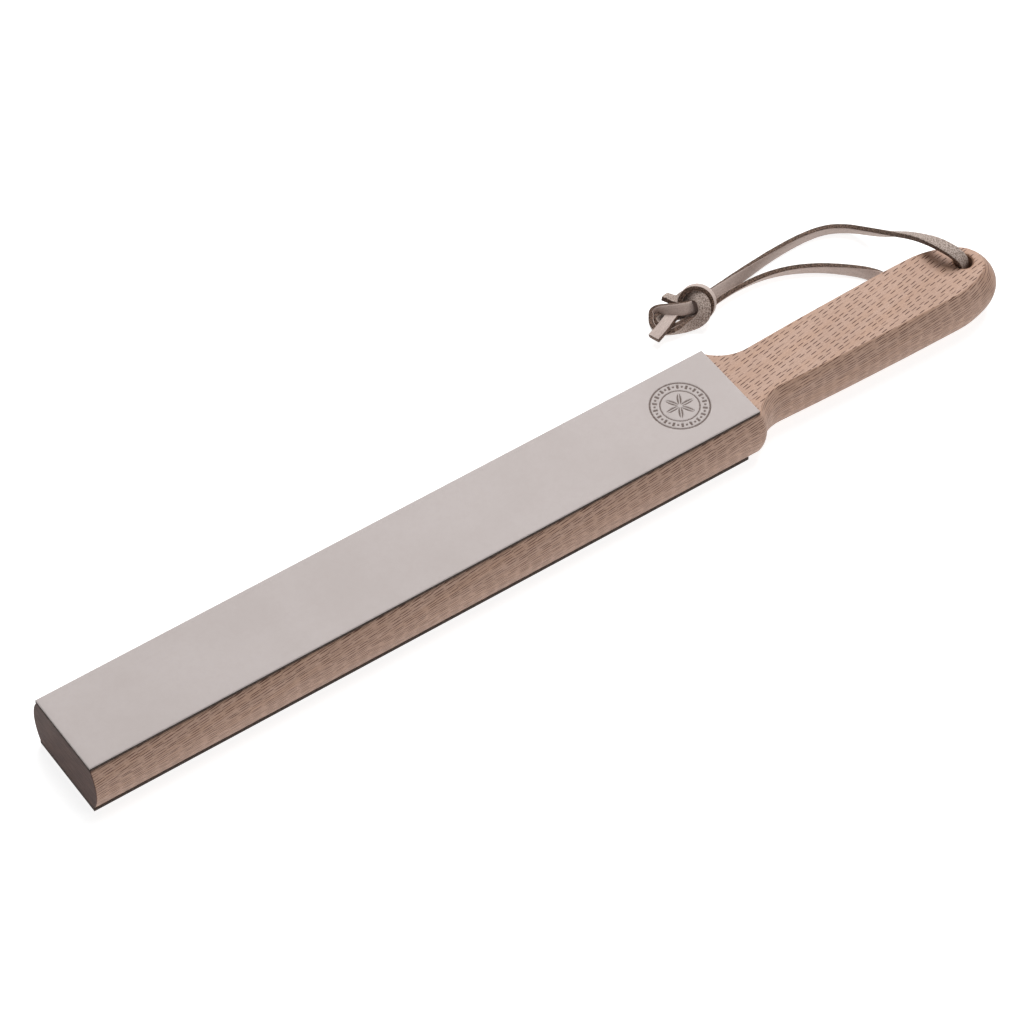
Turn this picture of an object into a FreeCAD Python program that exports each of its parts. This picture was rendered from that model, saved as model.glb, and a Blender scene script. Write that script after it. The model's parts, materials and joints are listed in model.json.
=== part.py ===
"""Double-sided leather strop on a beech paddle, with a tied leather lace through its butt.

Frame: +X along the paddle from the tip to the butt, +Z up, +Y towards the side where the
lace lies. The origin is the bottom centre of the paddle's box. Millimetres.
"""
import math
import os

import FreeCAD
import Part

V = FreeCAD.Vector

# Driving dimensions of the paddle and what is bonded to it.
BLADE_LENGTH = 316.0      # tip to the top leather's heel
UNDER_LEATHER_LENGTH = 311.5
BLADE_WIDTH = 40.0
WOOD_THICKNESS = 23.0
LEATHER_THICKNESS = 2.1
LEATHER_EDGE_ROUND = 0.4
GLUE_THICKNESS = 0.2
GLUE_INSET = 0.5          # the adhesive stops this far inside the leather's edge
SIDE_BULGE = 3.0          # the barrel-shaped sides stand this far out at mid-thickness
EDGE_BREAK = 0.5          # small bevel where the sides meet the flat faces

# Plan of the wood's flat face. Lengths along X are counted from the top leather's heel.
CORNER_RADIUS = 0.8       # convex corner of the shoulder
FILLET_RADIUS = 20.0      # concave sweep from the shoulder to the neck
NECK_AT = 16.5
NECK_WIDTH = 24.0
GRIP_WIDTH = 28.0         # where its butt starts to round
BUTT_SIDE_RADIUS = 40.0
BUTT_NOSE_RADIUS = 10.0
BUTT_NOSE_AT = (119.5, 121.0, 117.7)   # at the wood's bottom, mid-thickness and top
BUTT_NOSE_Y = (-2.0, -1.5, -1.0)       # the hand-shaped butt leans this far to one side

HOLE_AT = 120.0
HOLE_RADIUS = 4.0
HOLE_RIM_ROUND = 1.0

# The lace: a flat strip, stood for by a tube as thick as the strip is.
LACE_WIDTH = 5.5
LACE_THICKNESS = 2.2
KNOT_SIZE = (30.0, 18.0, 14.0)
KNOT_ROUND = 4.5
KNOT_FROM_HOLE = (-99.8, 58.0)

PADDLE_LENGTH = BLADE_LENGTH + BUTT_NOSE_AT[1] + BUTT_NOSE_RADIUS + SIDE_BULGE
TIP_X = -PADDLE_LENGTH / 2
HEEL_X = TIP_X + BLADE_LENGTH
HOLE_X = HEEL_X + HOLE_AT
WOOD_BOTTOM = LEATHER_THICKNESS + GLUE_THICKNESS
WOOD_TOP = WOOD_BOTTOM + WOOD_THICKNESS
TOP = WOOD_TOP + GLUE_THICKNESS + LEATHER_THICKNESS

# Points of the lace's two strands, from the hole's axis at table height, both starting
# half way down the hole. The first strand leaves at the top, arches over the grip's edge and
# comes down to lie on the table, and the second runs out flat under the grip.
UPPER_ROUTE = [
    (0.0, 0.0, 13.0), (0.5, -0.5, 20.0), (-0.9, -1.0, 27.0), (-4.5, 2.0, 32.2),
    (-8.0, 10.0, 33.0), (-8.7, 20.0, 27.8), (-8.6, 31.0, 19.8), (-9.2, 41.5, 11.4),
    (-10.8, 50.6, 5.8), (-14.4, 58.0, 3.2), (-22.6, 63.3, 2.9), (-35.0, 64.9, 2.9),
    (-51.0, 64.2, 2.9), (-66.0, 62.2, 2.9), (-80.0, 60.4, 2.9), (-88.5, 59.2, 3.4),
]
LOWER_ROUTE = [
    (0.0, 0.0, 13.0), (-0.4, 0.4, 7.0), (-0.7, 0.9, 1.15), (-5.2, 7.0, 1.15),
    (-10.4, 14.6, 1.15), (-16.6, 23.4, 1.6), (-22.4, 31.6, 3.0), (-29.2, 39.6, 2.9),
    (-38.6, 47.4, 2.9), (-49.6, 53.4, 2.9), (-61.0, 56.6, 2.8), (-73.0, 57.2, 2.8),
    (-82.0, 56.5, 2.8), (-88.5, 55.4, 2.8),
]
# The cut tails: where each leaves the knot and where it ends, again from the hole's axis.
LONG_TAIL = [(-105.4, 58.7, 5.4), (-119.7, 52.8, 4.6)]
SHORT_TAIL = [(-99.9, 62.7, 5.8), (-102.9, 69.3, 5.4)]


def side_profile():
    """Heights above the wood's bottom face and how far the barrel-shaped side stands out there."""
    heights = [EDGE_BREAK + (WOOD_THICKNESS - 2 * EDGE_BREAK) * i / 6 for i in range(7)]
    half = WOOD_THICKNESS / 2
    radius = (half ** 2 + SIDE_BULGE ** 2) / (2 * SIDE_BULGE)
    return [(z, math.sqrt(radius ** 2 - (z - half) ** 2) - radius + SIDE_BULGE) for z in heights]


def at_height(values, z):
    """The parabola through three values, given at the wood's bottom, mid-thickness and top."""
    low, middle, high = values
    t = (z - WOOD_BOTTOM) / WOOD_THICKNESS
    return low * (1 - t) * (1 - 2 * t) + middle * 4 * t * (1 - t) + high * t * (2 * t - 1)


def plan_outline(outward, z):
    """The paddle's outline in plan at one height, moved outward, as a closed wire."""
    half_blade, half_neck, half_grip = BLADE_WIDTH / 2, NECK_WIDTH / 2, GRIP_WIDTH / 2
    nose_at, nose_y = at_height(BUTT_NOSE_AT, z), at_height(BUTT_NOSE_Y, z)
    quarter = math.pi / 2
    fillet_y = half_neck + FILLET_RADIUS
    corner_y = half_blade - CORNER_RADIUS
    corner_x = NECK_AT - math.sqrt((CORNER_RADIUS + FILLET_RADIUS) ** 2 - (fillet_y - corner_y) ** 2)
    turn = math.atan2(fillet_y - corner_y, NECK_AT - corner_x)

    def at(arc, angle, side):
        return V(HEEL_X + arc[0] + arc[2] * math.cos(angle), side * (arc[1] + arc[2] * math.sin(angle)), z)

    def butt_side(side):
        """The butt's side arc, tangent to the grip and to the nose: its centre and its nose angle."""
        rise = side * nose_y - half_grip + BUTT_SIDE_RADIUS
        run = math.sqrt((BUTT_SIDE_RADIUS - BUTT_NOSE_RADIUS) ** 2 - rise ** 2)
        return nose_at - run, half_grip - BUTT_SIDE_RADIUS, math.atan2(rise, run)

    def half(side):
        side_x, side_y, nose = butt_side(side)
        # The grip's long side is one shallow arc, tangent to the fillet and level where the butt starts.
        run, rise = side_x - NECK_AT, half_grip - half_neck
        reach = (run ** 2 + rise ** 2) / (2 * rise)
        grip_radius = reach - FILLET_RADIUS
        slope = math.asin(run / reach)
        arcs = [
            (corner_x, corner_y, CORNER_RADIUS + outward, quarter, turn),
            (NECK_AT, fillet_y, FILLET_RADIUS - outward, turn + math.pi, 3 * quarter + slope),
            (side_x, half_grip - grip_radius, grip_radius + outward, quarter + slope, quarter),
            (side_x, side_y, BUTT_SIDE_RADIUS + outward, quarter, nose),
        ]
        start = V(TIP_X, side * (half_blade + outward), z)
        edges = [Part.LineSegment(start, at(arcs[0], quarter, side)).toShape()]
        for arc in arcs:
            first, last = arc[3], arc[4]
            points = [at(arc, a, side) for a in (first, (first + last) / 2, last)]
            edges.append(Part.Arc(*points).toShape())
        return edges

    nose_arc = (nose_at, nose_y, BUTT_NOSE_RADIUS + outward)
    nose_points = [at(nose_arc, angle, 1) for angle in (butt_side(1)[2], 0.0, -butt_side(-1)[2])]
    tip = Part.LineSegment(
        V(TIP_X, -half_blade - outward, z), V(TIP_X, half_blade + outward, z)).toShape()
    around = half(1) + [Part.Arc(*nose_points).toShape()] + half(-1)[::-1] + [tip]
    return Part.Wire(Part.__sortEdges__(around))


def paddle():
    """The wood: a lofted barrel-sided body, bevelled at its faces, with the lace's hole."""
    profile = side_profile()
    low, high = WOOD_BOTTOM, WOOD_TOP
    middle = Part.makeLoft([plan_outline(out, low + z) for z, out in profile], True, False)
    edge_out = profile[0][1]
    bottom = Part.makeLoft(
        [plan_outline(edge_out - EDGE_BREAK, low), plan_outline(edge_out, low + EDGE_BREAK)], True, True)
    top = Part.makeLoft(
        [plan_outline(edge_out, high - EDGE_BREAK), plan_outline(edge_out - EDGE_BREAK, high)], True, True)
    wood = middle.fuse([bottom, top]).removeSplitter()
    hole = Part.makeCylinder(HOLE_RADIUS, WOOD_THICKNESS + 2, V(HOLE_X, 0, low - 1))
    wood = wood.cut(hole)
    rims = [
        e for e in wood.Edges
        if isinstance(e.Curve, Part.Circle) and abs(e.Curve.Radius - HOLE_RADIUS) < 1e-6 and e.isClosed()
    ]
    wood = wood.makeFillet(HOLE_RIM_ROUND, rims)
    return wood.Solids[0]


def leather(length, z, outer_z):
    """One bonded strip of leather, its outer face's edges eased."""
    strip = Part.makeBox(length, BLADE_WIDTH, LEATHER_THICKNESS, V(TIP_X, -BLADE_WIDTH / 2, z))
    edges = [e for e in strip.Edges if all(abs(v.Z - outer_z) < 1e-6 for v in e.Vertexes)]
    return strip.makeFillet(LEATHER_EDGE_ROUND, edges).Solids[0]


def glue_film(length, z):
    """The adhesive under one leather."""
    return Part.makeBox(
        length - 2 * GLUE_INSET, BLADE_WIDTH - 2 * GLUE_INSET, GLUE_THICKNESS,
        V(TIP_X + GLUE_INSET, -BLADE_WIDTH / 2 + GLUE_INSET, z))


def tube(name, route):
    """A lace strand: straight runs joined by tangent arcs, swept with a round section."""
    points = [V(HOLE_X + x, y, z) for x, y, z in route]
    edges, start, length, radii = [], points[0], 0.0, []
    for before, here, after in zip(points, points[1:], points[2:]):
        back, ahead = before - here, after - here
        shorter = min(back.Length, ahead.Length)
        turn = math.pi - back.getAngle(ahead)
        cut = 0.45 * shorter
        radius = cut / math.tan(turn / 2)
        radii.append(round(radius, 1))
        back.normalize()
        ahead.normalize()
        first, last = here + back * cut, here + ahead * cut
        inward = back + ahead
        inward.normalize()
        middle = here + inward * (radius / math.cos(turn / 2) - radius)
        edges.append(Part.LineSegment(start, first).toShape())
        edges.append(Part.Arc(first, middle, last).toShape())
        length += (first - start).Length + radius * turn
        start = last
    edges.append(Part.LineSegment(start, points[-1]).toShape())
    length += (points[-1] - start).Length
    path = Part.Wire(edges)
    section = Part.Wire(Part.Circle(points[0], points[1] - points[0], LACE_THICKNESS / 2).toShape())
    solid = path.makePipeShell([section], True, False)
    expected = length * math.pi * LACE_THICKNESS ** 2 / 4
    print(name, "length", round(length, 1), "volume", round(solid.Volume, 1), "expected", round(expected, 1))
    print(name, "radii", radii)
    return solid


def knot():
    """The tied knot's outer shape: a rounded block that lies on the table."""
    x, y = HOLE_X + KNOT_FROM_HOLE[0], KNOT_FROM_HOLE[1]
    block = Part.makeBox(*KNOT_SIZE, V(x - KNOT_SIZE[0] / 2, y - KNOT_SIZE[1] / 2, 0))
    return block.makeFillet(KNOT_ROUND, block.Edges).Solids[0]


def tail(ends):
    """One cut end of the lace: a short flat strip from inside the knot to its tip."""
    start, end = [V(HOLE_X + x, y, z) for x, y, z in ends]
    along = end - start
    strip = Part.makeBox(
        along.Length, LACE_WIDTH, LACE_THICKNESS, V(0, -LACE_WIDTH / 2, -LACE_THICKNESS / 2))
    heading = math.degrees(math.atan2(along.y, along.x))
    pitch = math.degrees(math.atan2(-along.z, math.hypot(along.x, along.y)))
    turned = FreeCAD.Rotation(V(0, 0, 1), heading).multiply(FreeCAD.Rotation(V(0, 1, 0), pitch))
    strip.Placement = FreeCAD.Placement(start, turned)
    return strip


def main():
    os.makedirs("parts", exist_ok=True)
    nodes = {
        "paddle_body": paddle(),
        "glue_film_bottom": glue_film(UNDER_LEATHER_LENGTH, LEATHER_THICKNESS),
        "glue_film_top": glue_film(BLADE_LENGTH, WOOD_TOP),
        "strop_leather_bottom": leather(UNDER_LEATHER_LENGTH, 0.0, 0.0),
        "strop_leather_top": leather(BLADE_LENGTH, WOOD_TOP + GLUE_THICKNESS, TOP),
        "lanyard_upper_strand": tube("lanyard_upper_strand", UPPER_ROUTE),
        "lanyard_lower_strand": tube("lanyard_lower_strand", LOWER_ROUTE),
        "lanyard_knot": knot(),
        "lanyard_tail_long": tail(LONG_TAIL),
        "lanyard_tail_short": tail(SHORT_TAIL),
    }
    for name, shape in nodes.items():
        box = shape.BoundBox
        print(name, shape.ShapeType, len(shape.Solids), "valid", shape.isValid(), "volume", round(shape.Volume, 1),
              "box", [round(v, 2) for v in (box.XMin, box.YMin, box.ZMin, box.XMax, box.YMax, box.ZMax)])
        shape.exportStep("parts/" + name + ".step")


main()
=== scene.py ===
"""Looks of the double-sided leather strop: bonded leathers, oiled beech and a knotted flat lace."""
import json
import math

import bpy
import numpy as np
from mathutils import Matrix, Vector


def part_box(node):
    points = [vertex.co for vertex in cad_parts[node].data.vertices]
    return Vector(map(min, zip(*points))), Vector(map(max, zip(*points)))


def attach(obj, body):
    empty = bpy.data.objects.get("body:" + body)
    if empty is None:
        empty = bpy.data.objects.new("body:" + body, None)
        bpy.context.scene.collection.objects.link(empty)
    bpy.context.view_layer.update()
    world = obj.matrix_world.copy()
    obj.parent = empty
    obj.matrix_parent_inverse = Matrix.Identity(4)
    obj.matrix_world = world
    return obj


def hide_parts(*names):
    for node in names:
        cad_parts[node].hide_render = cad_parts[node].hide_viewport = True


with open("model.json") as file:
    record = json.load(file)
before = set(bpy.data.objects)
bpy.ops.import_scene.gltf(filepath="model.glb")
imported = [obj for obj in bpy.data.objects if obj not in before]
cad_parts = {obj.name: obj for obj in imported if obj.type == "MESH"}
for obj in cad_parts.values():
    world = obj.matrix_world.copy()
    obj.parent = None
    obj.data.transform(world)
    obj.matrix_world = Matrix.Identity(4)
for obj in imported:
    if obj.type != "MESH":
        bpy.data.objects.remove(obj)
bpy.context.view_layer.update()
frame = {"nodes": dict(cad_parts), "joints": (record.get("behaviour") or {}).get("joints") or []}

MM = 0.001
scene = bpy.context.scene

# Places read from the frame, in metres.
WOOD_LOW, WOOD_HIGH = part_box("paddle_body")
TOP_LOW, TOP_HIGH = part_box("strop_leather_top")
UNDER_LOW, UNDER_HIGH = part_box("strop_leather_bottom")
HOLE = Vector((frame["joints"][0]["pos_m"][0], 0.0, 0.0))

LACE_WIDTH = 5.5 * MM
LACE_THICKNESS = 2.2 * MM
CUT_ROUGHNESS = 0.012     # how far the lace's cut edges stray, as a share of its half width
LINE_STEPS = 10           # points on a lace's line for each of its control points

# ---------------------------------------------------------------- node helpers


class Graph:
    """A material's node tree, with short calls for the nodes that the materials here use."""

    def __init__(self, name):
        self.material = bpy.data.materials.new(name)
        self.material.use_nodes = True
        self.nodes = self.material.node_tree.nodes
        self.links = self.material.node_tree.links
        self.shader = self.nodes["Principled BSDF"]

    def link(self, value, socket):
        """Joins a socket to another, or sets it to a number, colour or vector."""
        if isinstance(value, bpy.types.NodeSocket):
            self.links.new(value, socket)
        elif isinstance(value, tuple) and len(value) == 3 and socket.type == "RGBA":
            socket.default_value = (*value, 1.0)
        else:
            socket.default_value = value

    def math(self, operation, *values):
        node = self.nodes.new("ShaderNodeMath")
        node.operation = operation
        for value, socket in zip(values, node.inputs):
            self.link(value, socket)
        return node.outputs[0]

    def vector(self, operation, *values):
        node = self.nodes.new("ShaderNodeVectorMath")
        node.operation = operation
        for value, socket in zip(values, node.inputs):
            self.link(value, socket)
        return node.outputs["Value" if operation == "DOT_PRODUCT" else "Vector"]

    def join(self, x, y, z=0.0):
        node = self.nodes.new("ShaderNodeCombineXYZ")
        for value, socket in zip((x, y, z), node.inputs):
            self.link(value, socket)
        return node.outputs[0]

    def split(self, vector):
        node = self.nodes.new("ShaderNodeSeparateXYZ")
        self.link(vector, node.inputs[0])
        return node.outputs

    def ramp(self, value, low, high, start=0.0, end=1.0):
        """A smooth step of value from low to high, giving start to end."""
        node = self.nodes.new("ShaderNodeMapRange")
        node.interpolation_type = "SMOOTHSTEP"
        for given, name in ((value, "Value"), (low, "From Min"), (high, "From Max"),
                            (start, "To Min"), (end, "To Max")):
            self.link(given, node.inputs[name])
        return node.outputs["Result"]

    def mix(self, share, first, second):
        node = self.nodes.new("ShaderNodeMix")
        node.data_type = "RGBA"
        self.link(share, node.inputs["Factor"])
        self.link(first, node.inputs[6])
        self.link(second, node.inputs[7])
        return node.outputs[2]

    def noise(self, vector, scale, detail=3.0, roughness=0.55):
        node = self.nodes.new("ShaderNodeTexNoise")
        self.link(vector, node.inputs["Vector"])
        self.link(scale, node.inputs["Scale"])
        self.link(detail, node.inputs["Detail"])
        self.link(roughness, node.inputs["Roughness"])
        return node.outputs["Fac"]

    def attribute(self, name):
        node = self.nodes.new("ShaderNodeAttribute")
        node.attribute_name = name
        return node.outputs

    def bump(self, height, distance, strength):
        node = self.nodes.new("ShaderNodeBump")
        self.link(height, node.inputs["Height"])
        node.inputs["Distance"].default_value = distance
        node.inputs["Strength"].default_value = strength
        self.links.new(node.outputs[0], self.shader.inputs["Normal"])

    def object_place(self):
        return self.nodes.new("ShaderNodeTexCoord").outputs["Object"]

    def finish(self, colour, roughness, specular=0.3):
        self.link(colour, self.shader.inputs["Base Color"])
        self.link(roughness, self.shader.inputs["Roughness"])
        self.link(specular, self.shader.inputs["Specular IOR Level"])
        return self.material


# ---------------------------------------------------------------- materials

BEECH = (0.525, 0.35, 0.272)
BEECH_WARM = (0.515, 0.325, 0.235)
BEECH_DASH = (0.055, 0.012, 0.003)
BEECH_FIBRE = (0.27, 0.15, 0.095)
BEECH_BLOTCH = (0.36, 0.22, 0.16)
BEECH_SPECK = (0.3, 0.185, 0.13)
BEECH_BUTT_AND_HOLE_DARK = (0.31, 0.17, 0.105)  # darker on the sides towards the butt, and painted shade round and inside the lace hole
BEECH_END = (0.105, 0.062, 0.05)       # the stained cut end at the tip
BEECH_END_RING = (0.065, 0.038, 0.034)
GRAIN_IN_PLAN = math.radians(9.5)      # the grain's turn from the paddle's axis, seen from above
GRAIN_RISE = math.radians(6.0)         # and how it rises towards the butt, seen from the side


def ray_flecks(g, along, across, cell, dash, seed):
    """Short dark dashes in staggered rows, with the size of a cell and half that of a dash: 0 to 1."""
    place = g.join(g.math("DIVIDE", along, cell[0]), g.math("DIVIDE", across, cell[1]), seed)
    node = g.nodes.new("ShaderNodeTexVoronoi")
    node.voronoi_dimensions = "2D"
    node.inputs["Scale"].default_value = 1.0
    node.inputs["Randomness"].default_value = 0.5
    g.link(place, node.inputs["Vector"])
    away = g.split(g.vector("SUBTRACT", place, node.outputs["Position"]))
    long_part = g.math("POWER", g.math("DIVIDE", away[0], dash[0] / cell[0]), 2.0)
    wide_part = g.math("POWER", g.math("DIVIDE", away[1], dash[1] / cell[1]), 2.0)
    inside = g.ramp(g.math("ADD", long_part, wide_part), 1.15, 0.8)
    shade = g.nodes.new("ShaderNodeSeparateColor")
    g.link(node.outputs["Color"], shade.inputs[0])
    return g.math("MULTIPLY", inside, g.ramp(shade.outputs[0], 0.0, 0.6, 0.55, 1.0))


def beech():
    """Pale pink-brown oiled beech with ray flecks, darker on its cut end."""
    g = Graph("beech")
    place = g.object_place()
    part = g.split(place)
    normal = g.split(g.nodes.new("ShaderNodeNewGeometry").outputs["Normal"])
    on_face = g.ramp(g.math("ABSOLUTE", normal[2]), 0.7, 0.85)

    plan, rise = GRAIN_IN_PLAN, GRAIN_RISE
    top_along = g.vector("DOT_PRODUCT", place, (math.cos(plan), math.sin(plan), 0.0))
    top_across = g.vector("DOT_PRODUCT", place, (-math.sin(plan), math.cos(plan), 0.0))
    side_along = g.vector("DOT_PRODUCT", place, (math.cos(rise), 0.0, math.sin(rise)))
    side_across = g.vector("DOT_PRODUCT", place, (-math.sin(rise), 0.0, math.cos(rise)))

    top_flecks = ray_flecks(g, top_along, top_across, (4.8 * MM, 1.7 * MM), (1.65 * MM, 0.21 * MM), 0.0)
    side_flecks = ray_flecks(
        g, side_along, side_across, (5.4 * MM, 1.15 * MM), (2.6 * MM, 0.19 * MM), 3.0)
    flecks = g.mix(on_face, g.math("MULTIPLY", side_flecks, 0.85), top_flecks)

    fibre_along = g.mix(on_face, side_along, top_along)
    fibre_across = g.mix(on_face, side_across, top_across)
    fibre_place = g.join(g.math("MULTIPLY", fibre_along, 0.04), fibre_across)
    fibres = g.noise(fibre_place, 2600.0, 3.0, 0.6)
    bands = g.noise(fibre_place, 260.0, 2.0, 0.5)
    blotches = g.noise(place, 45.0, 2.0, 0.5)

    colour = g.mix(g.ramp(bands, 0.35, 0.7), BEECH, BEECH_WARM)
    fibre_share = g.math("MULTIPLY", g.ramp(fibres, 0.3, 0.7), g.ramp(on_face, 0.0, 1.0, 0.62, 0.35))
    colour = g.mix(fibre_share, colour, BEECH_FIBRE)
    colour = g.mix(g.ramp(blotches, 0.35, 0.75, 0.0, 0.25), colour, BEECH_BLOTCH)
    from_hole = g.vector("MULTIPLY", g.vector("SUBTRACT", place, tuple(HOLE)), (1.0, 1.0, 0.0))
    hole_radius = g.math("SQRT", g.vector("DOT_PRODUCT", from_hole, from_hole))
    # Darker on the sides towards the butt; round the rim of the lace hole and inside it, painted shade.
    butt = g.ramp(part[0], HOLE.x - 8 * MM, HOLE.x + 8 * MM, 0.0, 0.62)
    butt_sides_dark = g.math("MULTIPLY", butt, g.math("SUBTRACT", 1.0, on_face))
    butt_dark_and_hole_shade = g.math("MAXIMUM", butt_sides_dark, g.ramp(hole_radius, 5.6 * MM, 4.4 * MM, 0.0, 0.55))
    colour = g.mix(butt_dark_and_hole_shade, colour, BEECH_BUTT_AND_HOLE_DARK)
    specks = g.noise(place, 1700.0, 3.0, 0.7)
    colour = g.mix(g.ramp(specks, 0.35, 0.7, 0.0, 0.5), colour, BEECH_SPECK)
    colour = g.mix(g.math("MULTIPLY", flecks, 0.97), colour, BEECH_DASH)

    at_end = g.ramp(part[0], WOOD_LOW.x + 0.6 * MM, WOOD_LOW.x + 0.1 * MM)
    rings = g.noise(g.join(g.math("MULTIPLY", part[1], 0.15), part[2]), 900.0, 2.0)
    stained = g.mix(g.ramp(rings, 0.3, 0.7), BEECH_END, BEECH_END_RING)
    colour = g.mix(at_end, colour, stained)
    g.bump(g.math("SUBTRACT", fibres, flecks), 0.05 * MM, 0.5)
    return g.finish(colour, 0.52, g.ramp(at_end, 0.0, 1.0, 0.3, 0.05))


LEATHER = (0.475, 0.425, 0.412)
LEATHER_CLOUD = (0.45, 0.40, 0.385)
LEATHER_PORE = (0.43, 0.375, 0.36)
# The cut edges' colours are partly the leather's own dark edge and partly painted shade.
LEATHER_EDGE_AND_SHADE = (0.035, 0.024, 0.02)
LEATHER_EDGE_FIBRE = (0.1, 0.07, 0.056)
LEATHER_EDGE_SHADE_LINE = (0.012, 0.009, 0.008)  # painted shade: the darkest line on each cut edge, right under the rounded edge
STAMP = (0.1, 0.068, 0.055)


def strop_leather():
    """Smooth pale leather with faint mottling, dark at its cut edges, partly as painted shade, and burnt
    in the stamp.
    """
    g = Graph("strop_leather")
    place = g.object_place()
    wide = g.noise(place, 28.0, 3.0, 0.6)
    fine = g.noise(place, 420.0, 3.0, 0.65)
    colour = g.mix(g.ramp(wide, 0.3, 0.7), LEATHER, LEATHER_CLOUD)
    colour = g.mix(g.ramp(fine, 0.35, 0.75, 0.0, 0.3), colour, LEATHER_PORE)
    marks = g.split(g.attribute("marks")["Vector"])
    in_stamp, down_edge = marks[0], marks[1]
    rough_burn = g.ramp(g.noise(place, 1500.0, 2.0), 0.25, 0.7, 0.75, 1.0)
    colour = g.mix(g.math("MULTIPLY", in_stamp, rough_burn), colour, STAMP)
    edge_shade = g.noise(g.vector("MULTIPLY", place, (1.0, 1.0, 3.0)), 700.0, 3.0)
    # The cut edges: dark, partly as painted shade, and darkest in a painted shade line next to the outer
    # face, which on the under leather meets the floor.
    edge = g.mix(g.ramp(edge_shade, 0.35, 0.65), LEATHER_EDGE_AND_SHADE, LEATHER_EDGE_FIBRE)
    edge = g.mix(g.ramp(down_edge, 0.45, 0.2), edge, LEATHER_EDGE_SHADE_LINE)
    at_edge = g.ramp(down_edge, 0.02, 0.16)
    colour = g.mix(at_edge, colour, edge)
    g.bump(fine, 0.03 * MM, 0.4)
    return g.finish(colour, 0.62, g.ramp(at_edge, 0.0, 1.0, 0.25, 0.05))


LACE_GRAIN = (0.47, 0.385, 0.35)
LACE_GRAIN_PALE = (0.53, 0.44, 0.4)
LACE_GRAIN_PORE = (0.24, 0.18, 0.15)
LACE_SUEDE_DARK, LACE_SUEDE_PALE = (0.15, 0.11, 0.092), (0.52, 0.43, 0.38)
LACE_EDGE_DARK, LACE_EDGE_FIBRE = (0.035, 0.022, 0.017), (0.21, 0.135, 0.1)


def lace_leather():
    """Lace leather: smooth grain on one face, mottled suede on the other, dark fibrous cut edges."""
    g = Graph("lace_leather")
    strip = g.split(g.attribute("strip")["Vector"])
    along, across, through = strip[0], strip[1], strip[2]
    surface = g.join(along, g.math("MULTIPLY", across, 2.5 * MM), g.math("MULTIPLY", through, 1.1 * MM))
    nap = g.noise(surface, 1900.0, 3.0, 0.7)
    streaks = g.noise(g.vector("MULTIPLY", surface, (0.25, 1.0, 1.0)), 900.0, 3.0, 0.6)
    grain = g.mix(g.ramp(streaks, 0.3, 0.7), LACE_GRAIN, LACE_GRAIN_PALE)
    grain = g.mix(g.ramp(nap, 0.45, 0.7, 0.0, 0.55), grain, LACE_GRAIN_PORE)
    suede = g.mix(g.ramp(nap, 0.35, 0.65), LACE_SUEDE_DARK, LACE_SUEDE_PALE)
    edge = g.mix(g.ramp(nap, 0.38, 0.66), LACE_EDGE_DARK, LACE_EDGE_FIBRE)
    colour = g.mix(g.ramp(through, -0.35, 0.35), suede, grain)
    colour = g.mix(g.ramp(g.math("ABSOLUTE", across), 0.93, 0.985), colour, edge)
    g.bump(nap, 0.12 * MM, 0.5)
    return g.finish(colour, 0.7, 0.2)


def adhesive():
    """Dull dark contact adhesive."""
    g = Graph("adhesive")
    return g.finish((0.035, 0.027, 0.024), 0.6)


def plain_white():
    """The studio floor: a white sheet that glows a little, so that only close shadows show."""
    g = Graph("floor_white")
    g.shader.inputs["Emission Color"].default_value = (1.0, 1.0, 1.0, 1.0)
    g.shader.inputs["Emission Strength"].default_value = 0.8
    return g.finish((0.5, 0.5, 0.5), 0.9, 0.0)


BEECH_MATERIAL = beech()
STROP_MATERIAL = strop_leather()
LACE_MATERIAL = lace_leather()
ADHESIVE_MATERIAL = adhesive()

# ---------------------------------------------------------------- mesh helpers


def mesh_piece(name, points, faces, material, attributes):
    """A new smooth object, with vectors stored on its points for its material to read."""
    mesh = bpy.data.meshes.new(name)
    mesh.from_pydata(points, [], faces)
    mesh.validate()
    for key, values in attributes.items():
        layer = mesh.attributes.new(key, "FLOAT_VECTOR", "POINT")
        layer.data.foreach_set("vector", np.asarray(values, np.float32).ravel())
    mesh.materials.append(material)
    mesh.shade_smooth()
    piece = bpy.data.objects.new(name, mesh)
    scene.collection.objects.link(piece)
    return piece


def spline_points(controls):
    """The points of the smooth NURBS line that has these control points."""
    data = bpy.data.curves.new("route", "CURVE")
    data.dimensions = "3D"
    spline = data.splines.new("NURBS")
    spline.points.add(len(controls) - 1)
    for point, place in zip(spline.points, controls):
        point.co = (*place, 1.0)
    spline.order_u = 3
    spline.use_endpoint_u = True
    spline.resolution_u = LINE_STEPS
    holder = bpy.data.objects.new("route", data)
    scene.collection.objects.link(holder)
    mesh = bpy.data.meshes.new_from_object(holder)
    points = np.array([v.co for v in mesh.vertices])
    bpy.data.objects.remove(holder)
    bpy.data.meshes.remove(mesh)
    bpy.data.curves.remove(data)
    return points


def unit(vectors):
    return vectors / np.linalg.norm(vectors, axis=-1, keepdims=True)


def strip_section():
    """The lace's rounded-rectangle section, as shares of its half width and half thickness."""
    corner, doming = 0.45 * MM, 1.03
    half_w, half_t = LACE_WIDTH / 2, LACE_THICKNESS / 2
    section = []
    for sx, sy, start in ((1, 1, 0.0), (-1, 1, 90.0), (-1, -1, 180.0), (1, -1, 270.0)):
        for step in range(4):
            angle = math.radians(start + 30.0 * step)
            section.append((
                (sx * (half_w - corner) + corner * math.cos(angle)) / half_w,
                (sy * (half_t - corner) + corner * math.sin(angle)) / half_t))
        if sx == sy:
            flat_part = (half_w - corner) / half_w
            section += [(-sx * share * flat_part, sy * doming) for share in (-0.5, 0.0, 0.5)]
    return np.array(section)


SECTION = strip_section()


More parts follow.
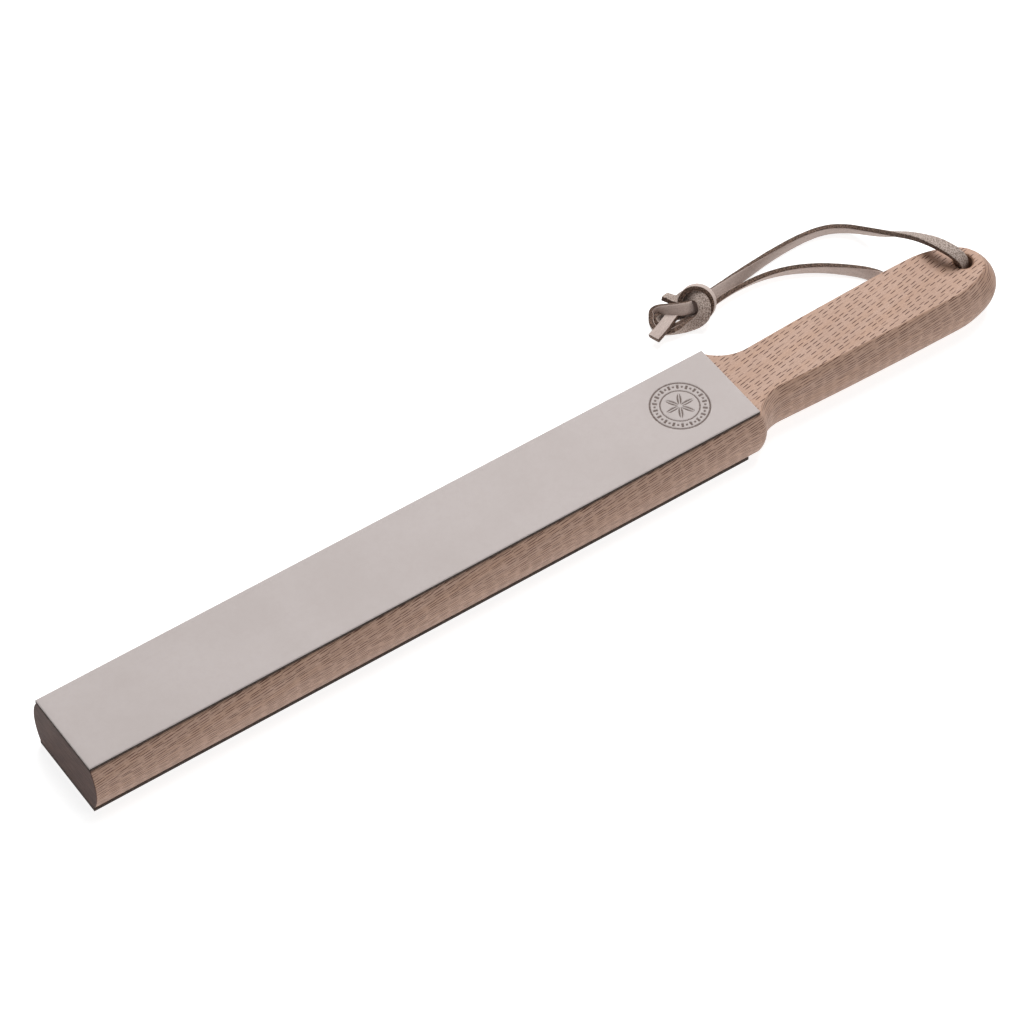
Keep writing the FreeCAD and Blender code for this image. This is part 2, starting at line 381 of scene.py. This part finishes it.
def lace_strip(name, route):
    """A flat strip along a route of (place, direction of its smooth face), and the line it follows."""
    places = [Vector(place) for place, _ in route]
    leaning = [Vector(place) + Vector(facing).normalized() * MM for place, facing in route]
    line = spline_points(places)
    beside = spline_points(leaning)
    ahead = unit(np.gradient(line, axis=0))
    facing = beside - line
    facing -= ahead * np.sum(facing * ahead, axis=1, keepdims=True)
    facing = unit(facing)
    across = np.cross(facing, ahead)
    lengths = np.concatenate([[0.0], np.cumsum(np.linalg.norm(np.diff(line, axis=0), axis=1))])
    rng = np.random.default_rng(len(route))
    # The cut edges wander a little along the strip, and are rough from point to point.
    stations = np.arange(0, lengths[-1] + 4 * MM, 2 * MM)
    wander = np.interp(lengths, stations, rng.normal(0, CUT_ROUGHNESS, len(stations)))
    points, strip = [], []
    for i, centre in enumerate(line):
        for u, v in SECTION:
            rough = 1.0 + wander[i] + (rng.normal(0, CUT_ROUGHNESS) if abs(u) > 0.9 else 0.0)
            sideways = across[i] * u * rough * LACE_WIDTH / 2
            points.append(centre + sideways + facing[i] * v * LACE_THICKNESS / 2)
            strip.append((lengths[i], u, v))
    count = len(SECTION)
    faces = []
    for i in range(len(line) - 1):
        here, there = i * count, (i + 1) * count
        for j in range(count):
            after = (j + 1) % count
            faces.append((here + j, here + after, there + after, there + j))
    # Each cut end has its own points, so that it is flat and as dark as the edges.
    for i, order in ((0, -1), (len(line) - 1, 1)):
        start = len(points)
        points += points[i * count:(i + 1) * count]
        strip += [(lengths[i], 1.0, v) for _, v in SECTION]
        faces.append(tuple(range(start, start + count))[::order])
    piece = mesh_piece(name, [tuple(p) for p in points], faces, LACE_MATERIAL, {"strip": strip})
    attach(piece, "lanyard")
    return piece, line


# ---------------------------------------------------------------- the strop leathers

STAMP_PLACE = (TOP_HIGH.x - 25.0 * MM, 0.6 * MM)
STAMP_DEPTH = 0.22 * MM
STAMP_SOFTNESS = 0.12 * MM
# The stamp's rings, as radius and width, and its two kinds of tick, as the share of a step that
# they are turned by, inner radius, outer radius and width.
STAMP_RINGS = ((12.25 * MM, 0.72 * MM), (8.1 * MM, 0.55 * MM))
STAMP_TICKS = ((0.0, 9.3 * MM, 11.3 * MM, 1.0 * MM), (0.5, 9.85 * MM, 10.75 * MM, 0.9 * MM))
STAMP_TICK_COUNT = 18
# The rosette: the radius of its petals' arcs, its bare middle and the rib along each petal.
STAMP_PETAL = 7.15 * MM
STAMP_MIDDLE = 0.9 * MM
STAMP_RIB = 0.5 * MM
EDGE_ROUND = 0.4 * MM


def stamp_mark(x, y):
    """How deep the round stamp is at each place, 0 to 1: two rings, ticks and a six-petal rosette."""
    x, y = x - STAMP_PLACE[0], y - STAMP_PLACE[1]
    radius, angle = np.hypot(x, y), np.arctan2(y, x)

    def inside(depth):
        return np.clip(depth / STAMP_SOFTNESS, 0, 1)

    def line(distance, width):
        return np.clip((width / 2 - np.abs(distance)) / STAMP_SOFTNESS + 0.5, 0, 1)

    def tick(offset, low, high, width):
        turn = 2 * math.pi / STAMP_TICK_COUNT
        nearest = (angle + offset * turn + turn / 2) % turn - turn / 2
        within = line(radius - (low + high) / 2, high - low)
        return np.minimum(line(radius * np.sin(nearest), width), within)

    rings = [line(radius - middle, width) for middle, width in STAMP_RINGS]
    ticks = [tick(*sizes) for sizes in STAMP_TICKS]
    petals = []
    for bearing in np.radians(range(0, 360, 60)):
        # A petal lies inside the two circles whose centres are a sixth of a turn to either side.
        reach = np.maximum(*[
            np.hypot(x - STAMP_PETAL * math.cos(side), y - STAMP_PETAL * math.sin(side))
            for side in (bearing - math.pi / 3, bearing + math.pi / 3)])
        lens = inside(STAMP_PETAL - reach + STAMP_SOFTNESS / 2)
        rib = line(y * math.cos(bearing) - x * math.sin(bearing), STAMP_RIB)
        petals.append(lens * (1 - rib) * inside(radius - STAMP_MIDDLE))
    return np.maximum.reduce(rings + ticks + petals)


def edge_steps(low, high, inner):
    """Grid lines from low to high: a few on each rounded edge, and the given ones between."""
    rounding = [EDGE_ROUND * (1 - math.cos(math.radians(a))) for a in (0, 25, 50, 70, 90)]
    inside = [value for value in inner if low + 2 * EDGE_ROUND < value < high - 2 * EDGE_ROUND]
    return np.array([low + r for r in rounding] + inside + [high - r for r in rounding[::-1]])


def leather_sheet(name, low, high, upward, stamped):
    """A bonded leather: an outer face with rounded edges and the stamp pressed in, closed at the back."""
    cell_x, cell_y = 3 * MM, 2 * MM
    xs = list(np.arange(low.x + cell_x, high.x, cell_x))
    ys = list(np.arange(low.y + cell_y, high.y, cell_y))
    if stamped:
        # A fine grid over the stamp takes the place of the wide one.
        fine, dense, clear = 0.28 * MM, 14.2 * MM, 15 * MM
        near_x = np.arange(STAMP_PLACE[0] - dense, STAMP_PLACE[0] + dense, fine)
        near_y = np.arange(STAMP_PLACE[1] - dense, STAMP_PLACE[1] + dense, fine)
        xs = sorted([x for x in xs if abs(x - STAMP_PLACE[0]) > clear] + list(near_x))
        ys = sorted([y for y in ys if abs(y - STAMP_PLACE[1]) > clear] + list(near_y))
    xs, ys = edge_steps(low.x, high.x, xs), edge_steps(low.y, high.y, ys)
    x, y = np.meshgrid(xs, ys, indexing="ij")
    to_edge = [np.minimum(v - lo, hi - v) for v, lo, hi in ((x, low.x, high.x), (y, low.y, high.y))]
    falls = [1 - np.sqrt(1 - (1 - np.clip(d / EDGE_ROUND, 0, 1)) ** 2) for d in to_edge]
    drop = EDGE_ROUND * np.clip(np.hypot(*falls), 0, 1)
    mark = stamp_mark(x, y) if stamped else np.zeros_like(x)
    outer, back, way = (high.z, low.z, 1) if upward else (low.z, high.z, -1)
    z = outer - way * (drop + STAMP_DEPTH * mark)
    nx, ny = x.shape
    points = [(x[i, j], y[i, j], z[i, j]) for i in range(nx) for j in range(ny)]
    # Each point's marks are its depth in the stamp and its share of the way down the cut edge.
    marks = [(mark[i, j], 0.0, 0.0) for i in range(nx) for j in range(ny)]
    faces = [
        (i * ny + j, (i + 1) * ny + j, (i + 1) * ny + j + 1, i * ny + j + 1)
        for i in range(nx - 1) for j in range(ny - 1)
    ]
    rim = [(i, 0) for i in range(nx)] + [(nx - 1, j) for j in range(1, ny)]
    rim += [(i, ny - 1) for i in range(nx - 2, -1, -1)] + [(0, j) for j in range(ny - 2, 0, -1)]
    start = len(points)
    points += [(xs[i], ys[j], back) for i, j in rim]
    marks += [(0.0, 1.0, 0.0)] * len(rim)
    for k, (i, j) in enumerate(rim):
        after = (k + 1) % len(rim)
        i2, j2 = rim[after]
        faces.append((i2 * ny + j2, i * ny + j, start + k, start + after))
    faces.append(tuple(range(start + len(rim) - 1, start - 1, -1)))
    if not upward:
        faces = [face[::-1] for face in faces]
    piece = mesh_piece(name, points, faces, STROP_MATERIAL, {"marks": marks})
    piece.data.set_sharp_from_angle(angle=math.radians(50))
    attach(piece, "paddle")
    return piece


# ---------------------------------------------------------------- the lace


def route_from_hole(points):
    """Places in millimetres from the hole's axis at table height, each with a facing, in metres."""
    return [(HOLE + Vector(place) * MM, facing) for place, facing in points]


# Where each strand passes, and which way its smooth face looks there. It turns from flat to on
# edge on its way to the table.
UPPER_STRAND = [
    ((0.0, 0.0, 13.0), (-0.4, 0.9, 0.0)), ((0.5, -0.5, 20.0), (-0.4, 0.9, 0.0)),
    ((-0.9, -1.0, 27.0), (-0.3, 0.85, -0.35)), ((-4.5, 2.0, 32.2), (-0.01, 0.47, -0.88)),
    ((-8.0, 10.0, 33.0), (-0.01, -0.24, -0.97)), ((-8.7, 20.0, 27.8), (-0.27, -0.52, -0.81)),
    ((-8.6, 31.0, 19.8), (-0.33, -0.58, -0.75)), ((-9.2, 41.5, 11.4), (-0.69, -0.47, -0.55)),
    ((-10.8, 50.6, 5.8), (-0.76, -0.46, -0.45)), ((-14.4, 58.0, 3.2), (-0.65, -0.68, -0.34)),
    ((-22.6, 63.3, 2.9), (-0.3, -0.92, -0.25)), ((-35.0, 64.9, 2.9), (-0.03, -0.99, -0.12)),
    ((-51.0, 64.2, 2.9), (0.09, -1.0, -0.01)), ((-66.0, 62.2, 2.9), (0.12, -0.92, 0.38)),
    ((-80.0, 60.4, 2.9), (0.11, -0.74, 0.67)), ((-88.5, 59.2, 3.4), (0.14, -0.69, 0.71)),
]
LOWER_STRAND = [
    ((0.0, 0.0, 13.0), (-0.4, 0.9, 0.0)), ((-0.4, 0.4, 7.0), (-0.4, 0.9, 0.0)),
    ((-0.7, 0.9, 1.1), (-0.4, 0.6, 0.7)), ((-5.2, 7.0, 1.1), (0.0, 0.0, 1.0)),
    ((-10.4, 14.6, 1.1), (0.0, 0.0, 1.0)), ((-16.6, 23.4, 1.2), (0.0, 0.0, 1.0)),
    ((-22.4, 31.6, 3.3), (-0.76, -0.61, 0.21)), ((-29.2, 39.6, 2.9), (-0.69, -0.71, -0.1)),
    ((-38.6, 47.4, 2.9), (-0.54, -0.8, -0.24)), ((-49.6, 53.4, 2.9), (-0.35, -0.86, -0.36)),
    ((-61.0, 56.6, 2.8), (-0.14, -0.86, -0.48)), ((-73.0, 57.2, 2.8), (0.0, -0.84, -0.54)),
    ((-82.0, 56.5, 2.8), (0.1, -0.84, -0.53)), ((-88.5, 55.4, 2.8), (0.15, -0.86, -0.48)),
]

# The upper strand's end in the knot: over the middle, round the left end on its edge, back
# along the near side, over the strands, and out at the back as the short tail.
KNOT_FIRST = [
    ((-88.5, 59.2, 3.4), (0.57, -0.57, 0.59)), ((-92.6, 57.4, 5.6), (0.51, -0.65, 0.56)),
    ((-97.2, 55.9, 7.6), (0.32, -0.8, 0.51)), ((-101.4, 55.9, 8.8), (-0.14, -0.83, 0.54)),
    ((-104.8, 57.8, 8.5), (-0.6, -0.64, 0.48)), ((-107.5, 60.5, 7.2), (-0.8, -0.46, 0.39)),
    ((-109.6, 63.6, 5.6), (-0.75, -0.66, 0.12)), ((-111.8, 64.9, 4.2), (0.21, -0.98, -0.04)),
    ((-113.9, 62.8, 3.2), (0.84, -0.54, 0.07)), ((-115.4, 59.2, 2.9), (0.92, -0.08, 0.38)),
    ((-114.4, 54.9, 3.0), (0.68, 0.45, 0.58)), ((-111.2, 53.2, 2.6), (0.29, 0.74, 0.6)),
    ((-107.0, 52.1, 2.8), (0.19, 0.92, 0.33)), ((-102.7, 51.2, 3.4), (0.35, 0.92, -0.17)),
    ((-99.0, 49.5, 5.2), (0.54, 0.73, -0.41)), ((-96.4, 49.1, 8.0), (0.51, 0.63, -0.58)),
    ((-94.8, 51.3, 10.8), (0.37, 0.44, -0.82)), ((-94.3, 55.1, 12.2), (0.48, 0.12, -0.87)),
    ((-95.6, 58.7, 11.4), (0.77, 0.03, -0.64)), ((-97.2, 61.1, 9.0), (0.79, 0.0, -0.61)),
    ((-99.2, 62.9, 6.8), (0.46, -0.31, -0.83)), ((-100.7, 64.5, 5.8), (-0.09, -0.38, -0.92)),
    ((-101.6, 66.6, 5.5), (-0.33, -0.23, -0.92)), ((-102.7, 68.8, 5.4), (-0.35, -0.21, -0.92)),
]
# The lower strand's: under the first and back beneath it, round as the collar, and out to the
# lower left as the long tail.
COLLAR_CENTRE = (-95.3, 56.1, 8.1)
COLLAR_AXIS = (-0.62, -0.54, 0.57)
COLLAR_ACROSS = (0.728, -0.679, 0.092)
COLLAR_RADIUS = 7.1
BEFORE_COLLAR = [
    ((-88.5, 55.4, 2.8), (-0.03, -0.84, -0.55)), ((-92.3, 55.3, 3.1), (-0.1, -0.9, 0.1)),
    ((-95.6, 56.9, 2.5), (-0.2, -0.5, 0.85)), ((-99.3, 59.4, 1.8), (-0.2, -0.2, 0.95)),
    ((-103.4, 61.3, 1.8), (-0.3, -0.1, 0.95)), ((-107.4, 62.3, 2.6), (-0.6, 0.1, 0.75)),
    ((-110.8, 62.1, 3.4), (-0.35, 0.93, 0.1)), ((-112.6, 60.3, 3.4), (-0.7, 0.46, -0.54)),
    ((-112.6, 58.6, 2.8), (-0.77, -0.3, -0.57)), ((-110.1, 55.4, 2.6), (-0.4, -0.66, -0.64)),
    ((-106.0, 54.5, 2.9), (-0.04, -0.83, -0.55)), ((-101.3, 54.7, 3.0), (-0.08, -0.84, -0.53)),
    ((-98.0, 53.5, 3.3), (-0.17, -0.64, -0.75)),
]
AFTER_COLLAR = [
    ((-101.6, 59.5, 5.6), (-0.45, 0.0, 0.9)), ((-105.3, 58.6, 5.4), (-0.06, 0.21, 0.98)),
    ((-109.9, 56.3, 5.8), (-0.1, 0.24, 0.96)), ((-114.6, 54.1, 5.6), (-0.16, 0.12, 0.98)),
    ((-119.7, 52.8, 4.6), (-0.21, 0.08, 0.97)),
]


def collar():
    """The collar's turn round the two strands, its smooth face outward."""
    axis = Vector(COLLAR_AXIS).normalized()
    across = Vector(COLLAR_ACROSS)
    across = (across - axis * across.dot(axis)).normalized()
    up = axis.cross(across)
    turn = []
    for angle in range(-60, 181, 30):
        bearing = math.radians(angle)
        outward = across * math.cos(bearing) + up * math.sin(bearing)
        turn.append((Vector(COLLAR_CENTRE) + outward * COLLAR_RADIUS, tuple(outward)))
    return turn


def lace():
    """Both strands as flat strips, and the knot that they end in with its two cut tails."""
    first, _ = lace_strip("lace_knot_first_wrap", route_from_hole(KNOT_FIRST))
    second, _ = lace_strip("lace_knot_collar", route_from_hole(BEFORE_COLLAR + collar() + AFTER_COLLAR))
    upper, upper_line = lace_strip("lace_upper_strand", route_from_hole(UPPER_STRAND))
    lower, lower_line = lace_strip("lace_lower_strand", route_from_hole(LOWER_STRAND))
    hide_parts("lanyard_upper_strand")
    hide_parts("lanyard_lower_strand")
    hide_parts("lanyard_knot", "lanyard_tail_short")
    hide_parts("lanyard_knot", "lanyard_tail_long")


# ---------------------------------------------------------------- build the looks

lace()
top_leather = leather_sheet("leather_top", TOP_LOW, TOP_HIGH, True, True)
under_leather = leather_sheet("leather_under", UNDER_LOW, UNDER_HIGH, False, False)
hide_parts("strop_leather_top")
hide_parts("strop_leather_bottom")

for node, material in (("paddle_body", BEECH_MATERIAL), ("glue_film_top", ADHESIVE_MATERIAL),
                       ("glue_film_bottom", ADHESIVE_MATERIAL)):
    for slot in frame["nodes"][node].material_slots:
        slot.material = material

# ---------------------------------------------------------------- stage, lights and camera

bpy.ops.mesh.primitive_plane_add(size=12.0, location=(0, 0, -0.05 * MM))
floor = bpy.context.object
floor.name = "floor"
floor.data.materials.append(plain_white())

world = bpy.data.worlds.new("studio")
world.use_nodes = True
background = world.node_tree.nodes["Background"]
background.inputs["Color"].default_value = (1.0, 1.0, 1.0, 1.0)
background.inputs["Strength"].default_value = 0.26
scene.world = world


def softbox(name, place, size, power):
    """A square lamp that looks at the middle of the table."""
    light = bpy.data.lights.new(name, "AREA")
    light.shape = "SQUARE"
    light.size = size
    light.energy = power
    lamp = bpy.data.objects.new(name, light)
    lamp.location = place
    lamp.rotation_mode = "QUATERNION"
    lamp.rotation_quaternion = (-Vector(place)).to_track_quat("-Z", "Y")
    scene.collection.objects.link(lamp)


softbox("overhead", (0.75, 0.8, 2.15), 1.6, 64.0)
softbox("fill", (1.7, -1.25, 0.75), 1.0, 6.0)

AIM = Vector((-0.02153, -0.006787, TOP_HIGH.z))
AZIMUTH, ELEVATION, DISTANCE = math.radians(-34.662), math.radians(50.15), 1.821
back = Vector((
    math.sin(AZIMUTH) * math.cos(ELEVATION),
    -math.cos(AZIMUTH) * math.cos(ELEVATION),
    math.sin(ELEVATION)))
camera_data = bpy.data.cameras.new("camera")
camera_data.lens = 161.7
camera_data.sensor_width = 36.0
camera = bpy.data.objects.new("camera", camera_data)
camera.location = AIM + back * DISTANCE
camera.rotation_mode = "QUATERNION"
camera.rotation_quaternion = (-back).to_track_quat("-Z", "Y")
scene.collection.objects.link(camera)
scene.camera = camera

scene.view_settings.view_transform = "Standard"
scene.view_settings.look = "None"
